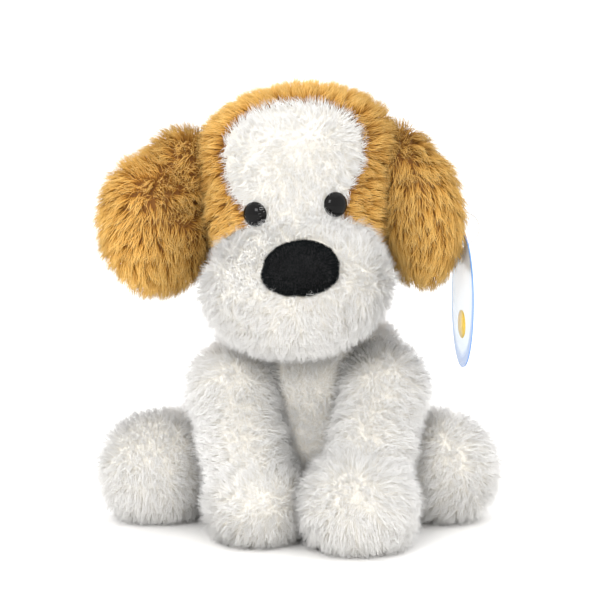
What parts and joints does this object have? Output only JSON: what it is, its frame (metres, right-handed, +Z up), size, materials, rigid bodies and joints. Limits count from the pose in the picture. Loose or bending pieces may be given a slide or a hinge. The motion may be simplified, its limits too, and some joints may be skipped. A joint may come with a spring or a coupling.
{
  "type": "stuffed toy dog",
  "caption": "Sitting plush puppy with floppy ears, jointed soft limbs, safety eyes, a plush nose and a blank hang tag.",
  "frame": {"origin": "middle of the flat seat under the torso, on the surface that the toy sits on", "axes": "+Z up, the dog faces -Y, its own left side is +X"},
  "size_m": [0.197, 0.1899, 0.2155],
  "materials": {
    "white_plush": "short white plush pile",
    "tan_plush": "long golden brown plush pile",
    "black_plush": "short black velour",
    "fibre": "loose polyester stuffing",
    "pellet_cloth": "plain woven pouch of pellets",
    "gloss_black": "moulded glossy black plastic",
    "clear_plastic": "translucent nylon",
    "card": "laminated printed card",
    "satin_label": "blank satin ribbon"
  },
  "bodies": {
    "torso": {"belly_panel": "white_plush", "back_left_panel": "white_plush", "back_right_panel": "white_plush", "seat_panel": "white_plush", "torso_stuffing": "fibre", "bean_pouch": "pellet_cloth", "care_label": "satin_label"},
    "neck": {"neck_stuffing": "fibre"},
    "head": {"head_stuffing": "fibre", "muzzle_left_panel": "white_plush", "muzzle_right_panel": "white_plush", "chin_panel": "white_plush", "forehead_panel": "white_plush", "head_left_panel": "tan_plush", "head_right_panel": "tan_plush", "head_back_panel": "tan_plush", "nose_cover": "black_plush", "nose_stuffing": "fibre", "eye_left": "gloss_black", "eye_right": "gloss_black", "eye_washer_left": "clear_plastic", "eye_washer_right": "clear_plastic"},
    "ear_left": {"ear_left_outer_panel": "tan_plush", "ear_left_inner_panel": "tan_plush", "ear_left_padding": "fibre", "tag_fastener": "clear_plastic"},
    "ear_right": {"ear_right_outer_panel": "tan_plush", "ear_right_inner_panel": "tan_plush", "ear_right_padding": "fibre"},
    "tag": {"hang_tag": "card"},
    "foreleg_left": {"foreleg_left_outer_panel": "white_plush", "foreleg_left_inner_panel": "white_plush", "foreleg_left_sole_panel": "white_plush", "foreleg_left_stuffing": "fibre"},
    "foreleg_right": {"foreleg_right_outer_panel": "white_plush", "foreleg_right_inner_panel": "white_plush", "foreleg_right_sole_panel": "white_plush", "foreleg_right_stuffing": "fibre"},
    "hindleg_left": {"hindleg_left_outer_panel": "white_plush", "hindleg_left_inner_panel": "white_plush", "hindleg_left_sole_panel": "white_plush", "hindleg_left_stuffing": "fibre"},
    "hindleg_right": {"hindleg_right_outer_panel": "white_plush", "hindleg_right_inner_panel": "white_plush", "hindleg_right_sole_panel": "white_plush", "hindleg_right_stuffing": "fibre"},
    "tail": {"tail_left_panel": "tan_plush", "tail_right_panel": "tan_plush", "tail_stuffing": "fibre"}
  },
  "joints": [
    {"name": "head_turn", "type": "hinge", "parent": "torso", "child": "neck", "pos_m": [0.004, -0.022, 0.105], "axis": [0, 0, 1], "range_deg": [-20, 20], "stiffness_Nm_per_rad": 0.4},
    {"name": "head_nod", "type": "hinge", "parent": "neck", "child": "head", "pos_m": [0.004, -0.022, 0.105], "axis": [-1, 0, 0], "range_deg": [-8, 12], "stiffness_Nm_per_rad": 1},
    {"name": "ear_left_flap", "type": "hinge", "parent": "head", "child": "ear_left", "pos_m": [0.044, -0.032, 0.194], "axis": [0, -1, 0], "range_deg": [0, 28]},
    {"name": "ear_right_flap", "type": "hinge", "parent": "head", "child": "ear_right", "pos_m": [-0.052, -0.032, 0.192], "axis": [0, 1, 0], "range_deg": [0, 40]},
    {"name": "tag_swing", "type": "hinge", "parent": "ear_left", "child": "tag", "pos_m": [0.079, -0.036, 0.142], "axis": [0.9781, 0.2079, 0], "range_deg": [-35, 35]},
    {"name": "foreleg_left_swing", "type": "hinge", "parent": "torso", "child": "foreleg_left", "pos_m": [0.039, -0.039, 0.07], "axis": [-1, 0, 0], "range_deg": [0, 45], "stiffness_Nm_per_rad": 0.15},
    {"name": "foreleg_right_swing", "type": "hinge", "parent": "torso", "child": "foreleg_right", "pos_m": [-0.033, -0.039, 0.07], "axis": [-1, 0, 0], "range_deg": [0, 45], "stiffness_Nm_per_rad": 0.15},
    {"name": "hindleg_left_splay", "type": "hinge", "parent": "torso", "child": "hindleg_left", "pos_m": [0.038, 0.008, 0.031], "axis": [0, 0, 1], "range_deg": [0, 25], "stiffness_Nm_per_rad": 0.15},
    {"name": "hindleg_right_splay", "type": "hinge", "parent": "torso", "child": "hindleg_right", "pos_m": [-0.038, 0.008, 0.031], "axis": [0, 0, -1], "range_deg": [0, 25], "stiffness_Nm_per_rad": 0.15},
    {"name": "tail_wag", "type": "hinge", "parent": "torso", "child": "tail", "pos_m": [0, 0.043, 0.022], "axis": [0, 0, 1], "range_deg": [-35, 35], "stiffness_Nm_per_rad": 0.05}
  ]
}
